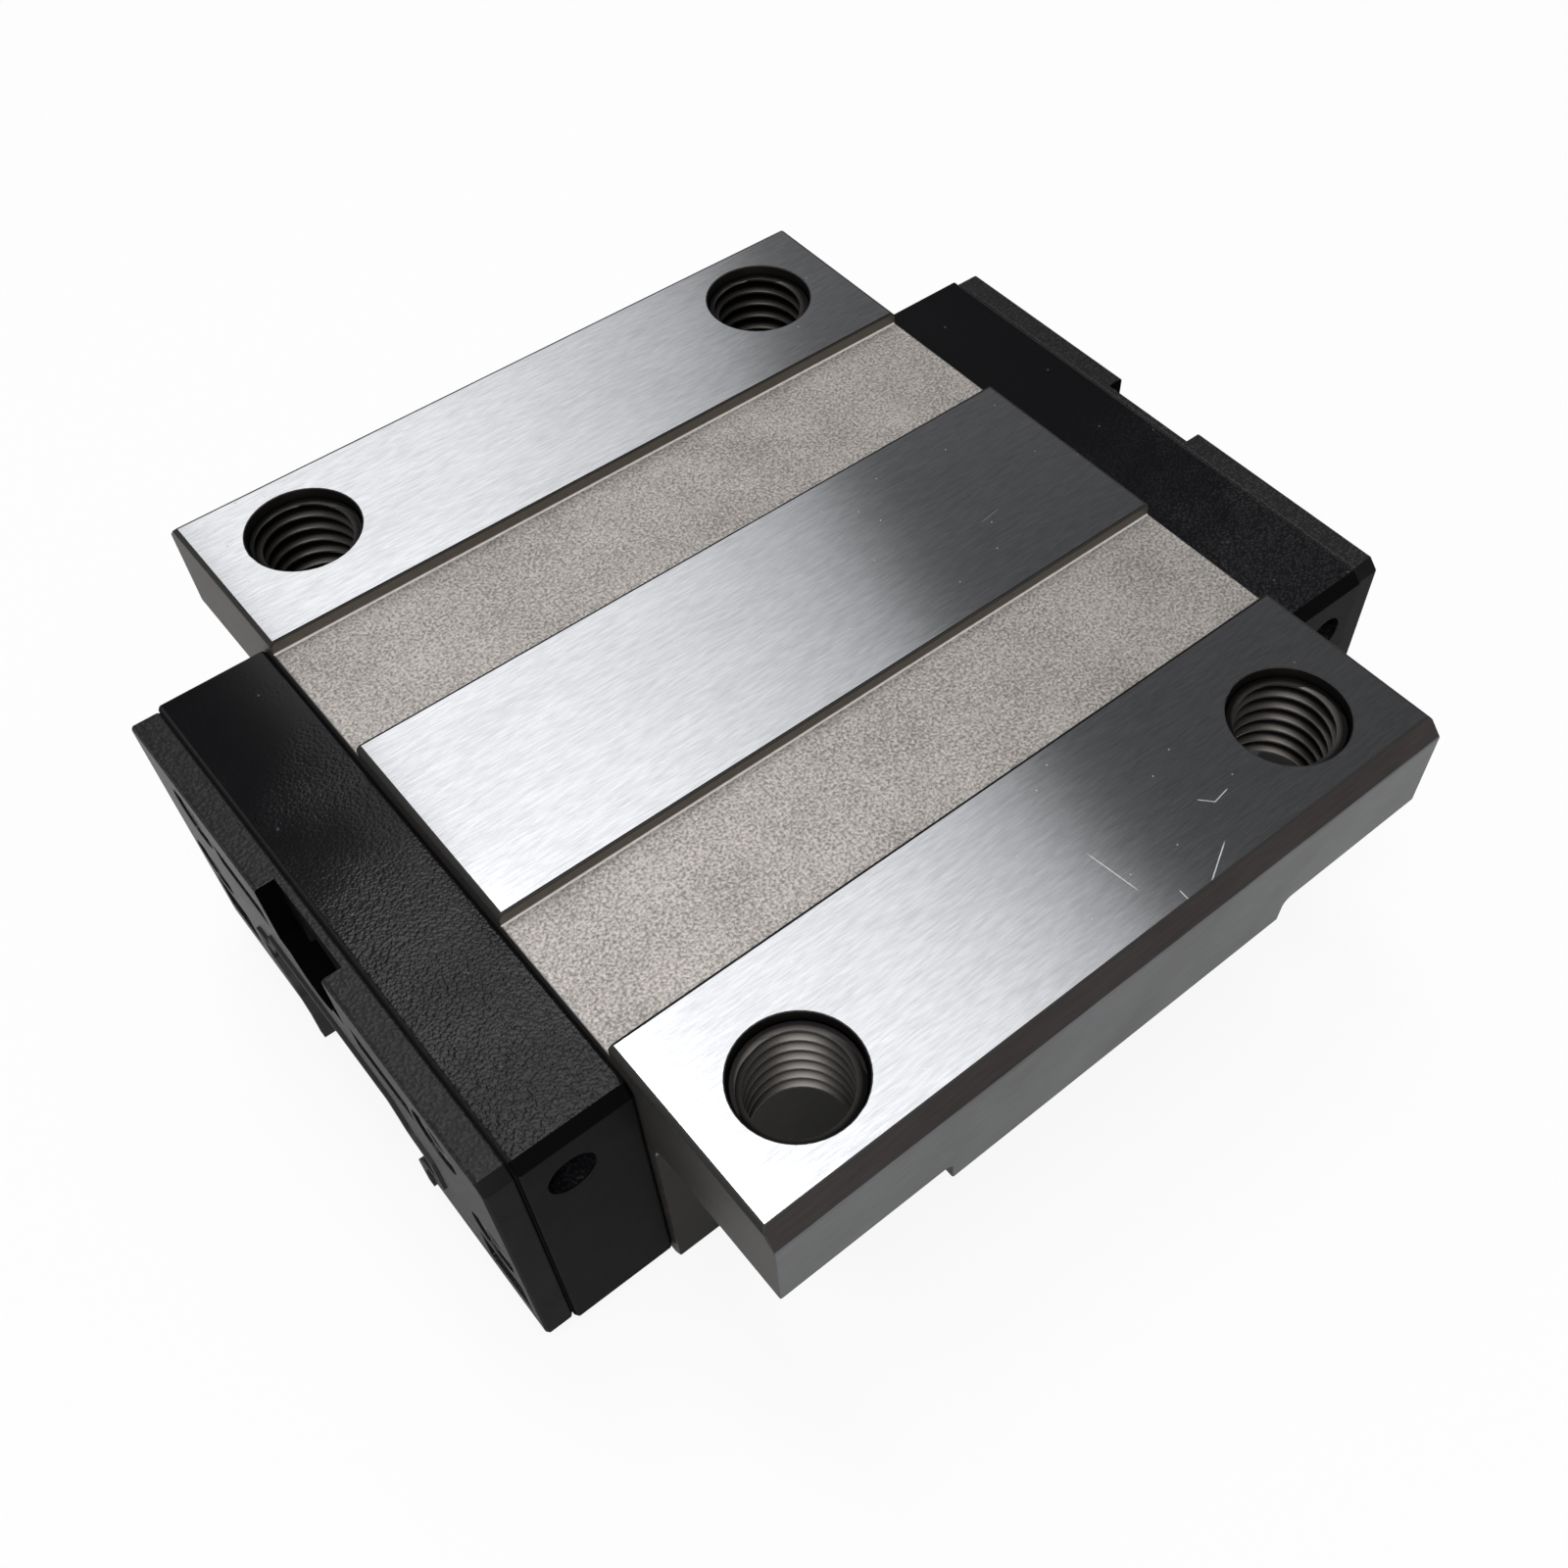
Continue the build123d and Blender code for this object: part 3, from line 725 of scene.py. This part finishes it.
class CARRIAGE_OT_threads(bpy.types.Operator):
    """Add the threads of the four flange holes"""

    bl_idname = "carriage.threads"
    bl_label = "Flange threads"

    def execute(self, context):
        settings = context.scene.carriage_threads
        first = self.model(settings)
        paint(first, thread_finish(context.scene.carriage_steel, settings))
        for end, along in ENDS.items():
            for side, across in SIDES.items():
                pick(first)
                bpy.ops.object.duplicate()
                thread = bpy.context.active_object
                thread.name = f"thread_{end}_{side}"
                place = (along * settings.spacing_x / 2, across * settings.spacing_y / 2, 0)
                bpy.ops.transform.translate(value=place)
                settle(thread)
                join_body(thread, "ground_steel")
        bpy.data.objects.remove(first)
        return {"FINISHED"}

    def model(self, settings):
        """One thread about the Z axis: a ridge's section, swept up a helix and cut off flat."""
        deselect()
        height = settings.wall_radius - settings.crest_radius
        middle = (settings.wall_radius + settings.crest_radius) / 2
        low = TOP - settings.flange
        high = TOP - settings.lead_in
        bpy.ops.mesh.primitive_plane_add(
            size=1,
            location=(middle, 0, low - settings.pitch),
            rotation=(pi / 2, 0, 0),
        )
        ridge = bpy.context.active_object
        ridge.scale = (height, settings.pitch - settings.root_width, 1)
        bpy.context.scene.cursor.location = (0, 0, 0)
        bpy.ops.object.transform_apply(location=False, rotation=True, scale=True)
        bpy.ops.object.origin_set(type="ORIGIN_CURSOR")
        bpy.ops.object.mode_set(mode="EDIT")
        select_points(ridge, lambda place: place.x < middle)
        taper = settings.crest_width / (settings.pitch - settings.root_width)
        bpy.ops.transform.resize(value=(1, 1, taper))
        bpy.ops.mesh.select_all(action="SELECT")
        bpy.ops.mesh.delete(type="ONLY_FACE")
        bpy.ops.object.mode_set(mode="OBJECT")
        turns = int((high - low) / settings.pitch) + 3
        apply_modifier(
            ridge,
            "SCREW",
            axis="Z",
            angle=2 * pi,
            screw_offset=settings.pitch,
            iterations=turns,
            steps=settings.steps,
            render_steps=settings.steps,
            use_smooth_shade=False,
        )
        pick(ridge)
        bpy.ops.object.mode_set(mode="EDIT")
        for level, upward in ((high, 1), (low, -1)):
            bpy.ops.mesh.select_all(action="SELECT")
            bpy.ops.mesh.remove_doubles(threshold=STEP_WELD)
            bpy.ops.mesh.select_all(action="SELECT")
            bpy.ops.mesh.bisect(
                plane_co=(0, 0, level),
                plane_no=(0, 0, upward),
                use_fill=True,
                clear_outer=True,
            )
        bpy.ops.mesh.select_all(action="SELECT")
        bpy.ops.mesh.normals_make_consistent(inside=False)
        bpy.ops.object.mode_set(mode="OBJECT")
        bpy.ops.object.shade_smooth_by_angle(angle=THREAD_SMOOTH_ANGLE)
        return ridge


class CARRIAGE_OT_caps(bpy.types.Operator):
    """Soften the moulded end caps and give them their grain, with painted highlights on it and painted
    shade along the seams and corner chamfers
    """

    bl_idname = "carriage.caps"
    bl_label = "End caps"

    def execute(self, context):
        plastic = context.scene.carriage_plastic
        low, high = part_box("end_cap_rear")
        seams = (low.x, high.x)
        material = moulded_finish(
            "Cap plastic",
            plastic,
            plastic.cap_color,
            plastic.cap_roughness,
            plastic.cap_grain,
            smoothest=0.1,
            seams=seams,
        )
        side = side_finish("Cap side", plastic, plastic.cap_color, seams)
        # The caps' upper corner chamfers are painted dull black: painted shade
        corner = plain_finish("Cap corner shade", plastic.painted_shade_color, 0.0, 0.7, Specular_IOR_Level=0.05)
        for end in ENDS:
            node = f"end_cap_{end}"
            cap = softened_copy(node, f"moulded_cap_{end}", plastic.edge_width)
            paint(cap, material)
            paint_faces(cap, side, is_upright)
            paint_faces(cap, corner, is_slanted)
            join_body(cap, "cap_plastic", node)
        return {"FINISHED"}


class CARRIAGE_OT_plates(bpy.types.Operator):
    """Soften the moulded end plates and give them their grain, with painted highlights on it and painted
    shade along the seams and in the notches
    """

    bl_idname = "carriage.plates"
    bl_label = "End plates"

    def execute(self, context):
        plastic = context.scene.carriage_plastic
        low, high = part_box("end_plate_rear")
        seams = (low.x,)
        material = moulded_finish(
            "Plate plastic",
            plastic,
            plastic.plate_color,
            plastic.plate_roughness,
            plastic.plate_grain,
            smoothest=0.75,
            seams=seams,
        )
        side = side_finish("Plate side", plastic, plastic.plate_color, seams)
        # The notches' inner faces are painted dull black: painted shade
        notch = plain_finish("Notch shade plastic", plastic.painted_shade_color, 0.0, 0.8, Specular_IOR_Level=0.02)

        def in_notch(place, normal):
            deep = high.x - plastic.notch_depth - HAIR < abs(place.x) < high.x - HAIR
            wide = abs(place.y) < plastic.notch_width / 2 + HAIR
            return deep and wide and high.z - plastic.notch_height < place.z < high.z - HAIR

        for end in ENDS:
            node = f"end_plate_{end}"
            plate = softened_copy(node, f"moulded_plate_{end}", plastic.edge_width)
            paint(plate, material)
            paint_faces(plate, side, is_upright)
            paint_faces(plate, notch, in_notch)
            join_body(plate, "plate_plastic", node)
        return {"FINISHED"}


class CARRIAGE_OT_small_parts(bpy.types.Operator):
    """Finish the balls, guides, seals, wires, screws and plugs"""

    bl_idname = "carriage.small_parts"
    bl_label = "Small parts"

    def execute(self, context):
        colors = context.scene.carriage_small_parts
        finishes = {
            "ball_steel": plain_finish("Ball steel", colors.ball_color, 1.0, 0.08, depth=0.0005 * MM),
            "guide_plastic": plain_finish("Guide plastic", colors.guide_color, 0.0, 0.45),
            "seal_rubber": plain_finish("Seal rubber", colors.seal_color, 0.0, 0.65),
            "strip_plastic": plain_finish("Strip plastic", colors.strip_color, 0.0, 0.5),
            "wire_steel": plain_finish("Wire steel", colors.wire_color, 1.0, 0.3),
            "screw_steel": plain_finish("Screw steel", colors.screw_color, 0.8, 0.35),
        }
        plug = plain_finish("Plug plastic", colors.plug_color, 0.0, 0.5)
        for part in frame["record"]["subparts"]:
            is_plug = part["node"].startswith("grease_plug")
            finish = plug if is_plug else finishes.get(part["material_slot"])
            if finish:
                paint(frame["nodes"][part["node"]], finish)
        return {"FINISHED"}


def aimed(aim):
    """Rotation that looks in a direction."""
    return Vector(aim).to_track_quat("-Z", "Y").to_euler()


def add_lamp(name, place, aim, size, level):
    """A rectangular lamp of a given radiance that the camera doesn't see."""
    bpy.ops.object.light_add(type="AREA", location=place, rotation=aimed(aim))
    lamp = bpy.context.active_object
    lamp.name = name
    lamp.data.shape = "RECTANGLE"
    lamp.data.size, lamp.data.size_y = size
    lamp.data.energy = level * pi * size[0] * size[1]
    lamp.visible_camera = False
    return lamp


# Lamps and cards: place, direction they shine in, and size
LAMP_HEIGHT = TOP + 0.5
KEY_LAMP = ((-0.3, -0.42, 0.8), (0.3, 0.42, -0.8), (0.5, 0.5))
NEAR_CARD = ((0.01, 0.115, LAMP_HEIGHT), (0, 0, -1), (0.13, 0.43))
SOFTBOX_PLACE = (0.29, 0.36, LAMP_HEIGHT)
SOFTBOX_SIZE = (0.46, 0.72)

# The softbox's far edge: its place in the middle, and how it curves away across the travel
EDGE_PLACE = 0.276
EDGE_CURVE = 0.34

# Width of the softbox's fade in the middle, and its growth across the travel
FADE_WIDTH = 0.5
FADE_GROWTH = 1.2

# Brightness of the softbox in the middle, its fall across the travel, and what is left past the fade
EVEN_LEVEL = 1.13
EVEN_FALL = 0.3
DIM_CURVE = 0.21

# Where the tent changes: by the height of a direction, or by how far it faces the mirrored camera
WHITE_BELOW = (0.06, 0.26)
DARK_ABOVE = (0.4, 0.54)
DARK_FACING = (0.6, 0.84)

# The floor: its width, its colour to the camera, and how much of that is glow
FLOOR_WIDTH = 20
FLOOR_COLOR = 0.9
FLOOR_GLOW = 0.85

SENSOR_WIDTH_MM = 36
CLIP_NEAR = 0.001
CLIP_FAR = 50

# Brightness of the softbox against the distance beyond its far edge
FADE = (
    (-0.25, 1.0),
    (-0.17, 0.89),
    (-0.12, 0.77),
    (-0.075, 0.59),
    (-0.05, 0.5),
    (-0.035, 0.44),
    (-0.02, 0.37),
    (-0.004, 0.27),
    (0.008, 0.14),
    (0.02, 0.05),
    (0.034, 0.0),
)


class CARRIAGE_OT_studio(bpy.types.Operator):
    """Set up the floor, the lamps, the background and the camera"""

    bl_idname = "carriage.studio"
    bl_label = "Studio"

    def execute(self, context):
        studio = context.scene.carriage_studio
        deselect()
        self.floor(studio)
        self.room(studio)
        add_lamp("key", *KEY_LAMP, studio.key_level)
        add_lamp("near card", *NEAR_CARD, studio.card_level)
        self.softbox(studio, SOFTBOX_PLACE, SOFTBOX_SIZE)
        self.camera(studio)
        scene = bpy.context.scene
        scene.view_settings.view_transform = "Standard"
        return {"FINISHED"}

    def softbox(self, studio, place, size):
        """A wide card overhead that fades out along a curved far edge."""
        bpy.ops.mesh.primitive_plane_add(size=1, location=place)
        card = bpy.context.active_object
        card.name = "softbox"
        card.scale = (*size, 1)
        bpy.ops.object.transform_apply(location=False, rotation=False, scale=True)
        card.visible_camera = False
        material = bpy.data.materials.new("Softbox")
        material.use_nodes = True
        tree = material.node_tree
        tree.nodes.clear()

        def math(operation, first, second):
            links = {0: first, 1: second}
            return add_node(tree, "ShaderNodeMath", links, operation=operation).outputs[0]

        coordinates = add_node(tree, "ShaderNodeTexCoord").outputs["Object"]
        split = add_node(tree, "ShaderNodeSeparateXYZ", {0: coordinates})
        along = math("ADD", split.outputs["X"], place[0])
        across = math("ADD", split.outputs["Y"], place[1])
        squared = math("MULTIPLY", across, across)
        edge = math("ADD", math("MULTIPLY", squared, EDGE_CURVE), EDGE_PLACE)
        spread = math("ADD", math("MULTIPLY", across, FADE_GROWTH), FADE_WIDTH)
        beyond = math("DIVIDE", math("SUBTRACT", along, edge), spread)
        low, high = FADE[0][0], FADE[-1][0]
        share = math("DIVIDE", math("SUBTRACT", beyond, low), high - low)
        ramp = add_node(tree, "ShaderNodeValToRGB", {0: share})
        stops = ramp.color_ramp.elements
        while len(stops) < len(FADE):
            stops.new(0.5)
        for stop, (distance, brightness) in zip(stops, FADE):
            stop.position = (distance - low) / (high - low)
            stop.color = (brightness, brightness, brightness, 1)
        fall = math("SUBTRACT", EVEN_LEVEL, math("MULTIPLY", across, EVEN_FALL))
        evened = math("MULTIPLY", fall, studio.softbox_level)
        dim = math("ADD", math("MULTIPLY", squared, DIM_CURVE), studio.room_level)
        shine = math("ADD", math("MULTIPLY", ramp.outputs[0], evened), dim)
        glow = add_node(tree, "ShaderNodeEmission", {"Strength": shine})
        add_node(tree, "ShaderNodeOutputMaterial", {"Surface": glow.outputs[0]})
        card.data.materials.append(material)

    def floor(self, studio):
        """A plain pale floor, white to the camera, that keeps the shadow."""
        bpy.ops.mesh.primitive_plane_add(size=FLOOR_WIDTH, location=(0, 0, 0))
        floor = bpy.context.active_object
        floor.name = "floor"
        material = bpy.data.materials.new("Floor")
        material.use_nodes = True
        tree = material.node_tree
        shader = tree.nodes["Principled BSDF"]
        shader.inputs["Roughness"].default_value = 0.9
        shader.inputs["Specular IOR Level"].default_value = 0
        seen = add_node(tree, "ShaderNodeLightPath").outputs["Is Camera Ray"]
        links = {"Value": seen, "To Min": studio.floor_level, "To Max": FLOOR_COLOR}
        tone = add_node(tree, "ShaderNodeMapRange", links)
        tree.links.new(tone.outputs[0], shader.inputs["Base Color"])
        share = add_node(tree, "ShaderNodeMath", {0: seen, 1: FLOOR_GLOW}, operation="MULTIPLY")
        glow = add_node(tree, "ShaderNodeEmission")
        links = {0: share.outputs[0], 1: shader.outputs[0], 2: glow.outputs[0]}
        mix = add_node(tree, "ShaderNodeMixShader", links)
        tree.links.new(mix.outputs[0], tree.nodes["Material Output"].inputs["Surface"])
        floor.data.materials.append(material)

    def room(self, studio):
        """White where the camera looks and low down all round, dim overhead."""
        world = bpy.data.worlds.new("Room")
        bpy.context.scene.world = world
        world.use_nodes = True
        tree = world.node_tree
        tree.nodes.clear()
        way = add_node(tree, "ShaderNodeTexCoord").outputs["Generated"]
        height = add_node(tree, "ShaderNodeSeparateXYZ", {0: way}).outputs["Z"]
        aim = Vector(studio.camera_aim)
        links = {0: way, 1: (aim.x, aim.y, -aim.z)}
        facing = add_node(tree, "ShaderNodeVectorMath", links, operation="DOT_PRODUCT").outputs["Value"]

        def fade(source, ends, start, end):
            links = {"Value": source, "To Min": start, "To Max": end}
            links["From Min"], links["From Max"] = ends
            return add_node(tree, "ShaderNodeMapRange", links, interpolation_type="SMOOTHSTEP").outputs[0]

        def larger(first, second):
            return add_node(tree, "ShaderNodeMath", {0: first, 1: second}, operation="MAXIMUM").outputs[0]

        tent = larger(
            fade(facing, DARK_FACING, studio.tent_level, studio.room_level),
            fade(height, DARK_ABOVE, studio.tent_level, studio.room_level),
        )
        brightness = larger(fade(height, WHITE_BELOW, 1, 0), tent)
        room = add_node(tree, "ShaderNodeBackground", {"Strength": brightness})
        white = add_node(tree, "ShaderNodeBackground", {"Color": (1, 1, 1, 1), "Strength": 1})
        seen = add_node(tree, "ShaderNodeLightPath").outputs["Is Camera Ray"]
        mix = add_node(tree, "ShaderNodeMixShader", {0: seen, 1: room.outputs[0], 2: white.outputs[0]})
        add_node(tree, "ShaderNodeOutputWorld", {"Surface": mix.outputs[0]})

    def camera(self, studio):
        """The photograph's viewpoint."""
        deselect()
        bpy.ops.object.camera_add(location=studio.camera_place, rotation=aimed(studio.camera_aim))
        camera = bpy.context.active_object
        camera.name = "camera"
        camera.data.lens = studio.lens_mm
        camera.data.sensor_width = SENSOR_WIDTH_MM
        camera.data.shift_x = studio.shift_x
        camera.data.shift_y = studio.shift_y
        camera.data.clip_start = CLIP_NEAR
        camera.data.clip_end = CLIP_FAR
        bpy.context.scene.camera = camera


class CARRIAGE_PT_panel(bpy.types.Panel):
    """The steps that dress the carriage."""

    bl_idname = "CARRIAGE_PT_panel"
    bl_label = "Linear guide carriage"
    bl_space_type = "VIEW_3D"
    bl_region_type = "UI"
    bl_category = "Carriage"

    def draw(self, context):
        for group in GROUPS:
            box = self.layout.box()
            settings = getattr(context.scene, group)
            for name in settings.__annotations__:
                box.prop(settings, name)
        for step in STEPS:
            self.layout.operator(step.bl_idname)


STEPS = (
    CARRIAGE_OT_body,
    CARRIAGE_OT_threads,
    CARRIAGE_OT_caps,
    CARRIAGE_OT_plates,
    CARRIAGE_OT_small_parts,
    CARRIAGE_OT_studio,
)


def register():
    """Add the classes and the scene's settings."""
    for cls in (*GROUPS.values(), *STEPS, CARRIAGE_PT_panel):
        bpy.utils.register_class(cls)
    for name, group in GROUPS.items():
        setattr(bpy.types.Scene, name, PointerProperty(type=group))


def unregister():
    """Take the classes and the scene's settings out again."""
    for name in GROUPS:
        delattr(bpy.types.Scene, name)
    for cls in (CARRIAGE_PT_panel, *reversed(STEPS), *reversed(list(GROUPS.values()))):
        bpy.utils.unregister_class(cls)


def main():
    """Dress the carriage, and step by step."""
    register()
    for step in STEPS:
        family, name = step.bl_idname.split(".")
        getattr(getattr(bpy.ops, family), name)()


if __name__ == "__main__":
    main()
